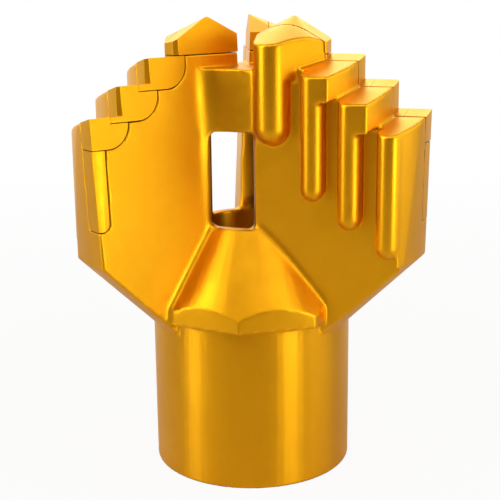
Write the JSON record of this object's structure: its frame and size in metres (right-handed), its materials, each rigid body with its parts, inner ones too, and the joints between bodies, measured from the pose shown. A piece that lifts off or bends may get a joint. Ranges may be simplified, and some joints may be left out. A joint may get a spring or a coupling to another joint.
{
  "type": "step drag bit",
  "caption": "Gold-painted step drag bit: ribbed stepped wings with brazed carbide inserts, window openings, a cone and a box-threaded shank.",
  "frame": {"origin": "centre of the shank's bottom face, where the tool joint's shoulder seats", "axes": "+Z along the bit's axis towards the cutting end; the right wing points at 330 degrees from +X"},
  "size_m": [0.1826, 0.1747, 0.2473],
  "materials": {
    "gold_body": "satin",
    "gold_insert": "satin"
  },
  "bodies": {
    "root": {"bit_body": "gold_body", "left_tip_insert": "gold_insert", "left_step_insert_1": "gold_insert", "left_step_insert_2": "gold_insert", "left_step_insert_3": "gold_insert", "left_gauge_insert": "gold_insert", "right_tip_insert": "gold_insert", "right_step_insert_1": "gold_insert", "right_step_insert_2": "gold_insert", "right_step_insert_3": "gold_insert", "right_gauge_insert": "gold_insert", "back_tip_insert": "gold_insert", "back_step_insert_1": "gold_insert", "back_step_insert_2": "gold_insert", "back_step_insert_3": "gold_insert", "back_gauge_insert": "gold_insert"}
  },
  "joints": []
}
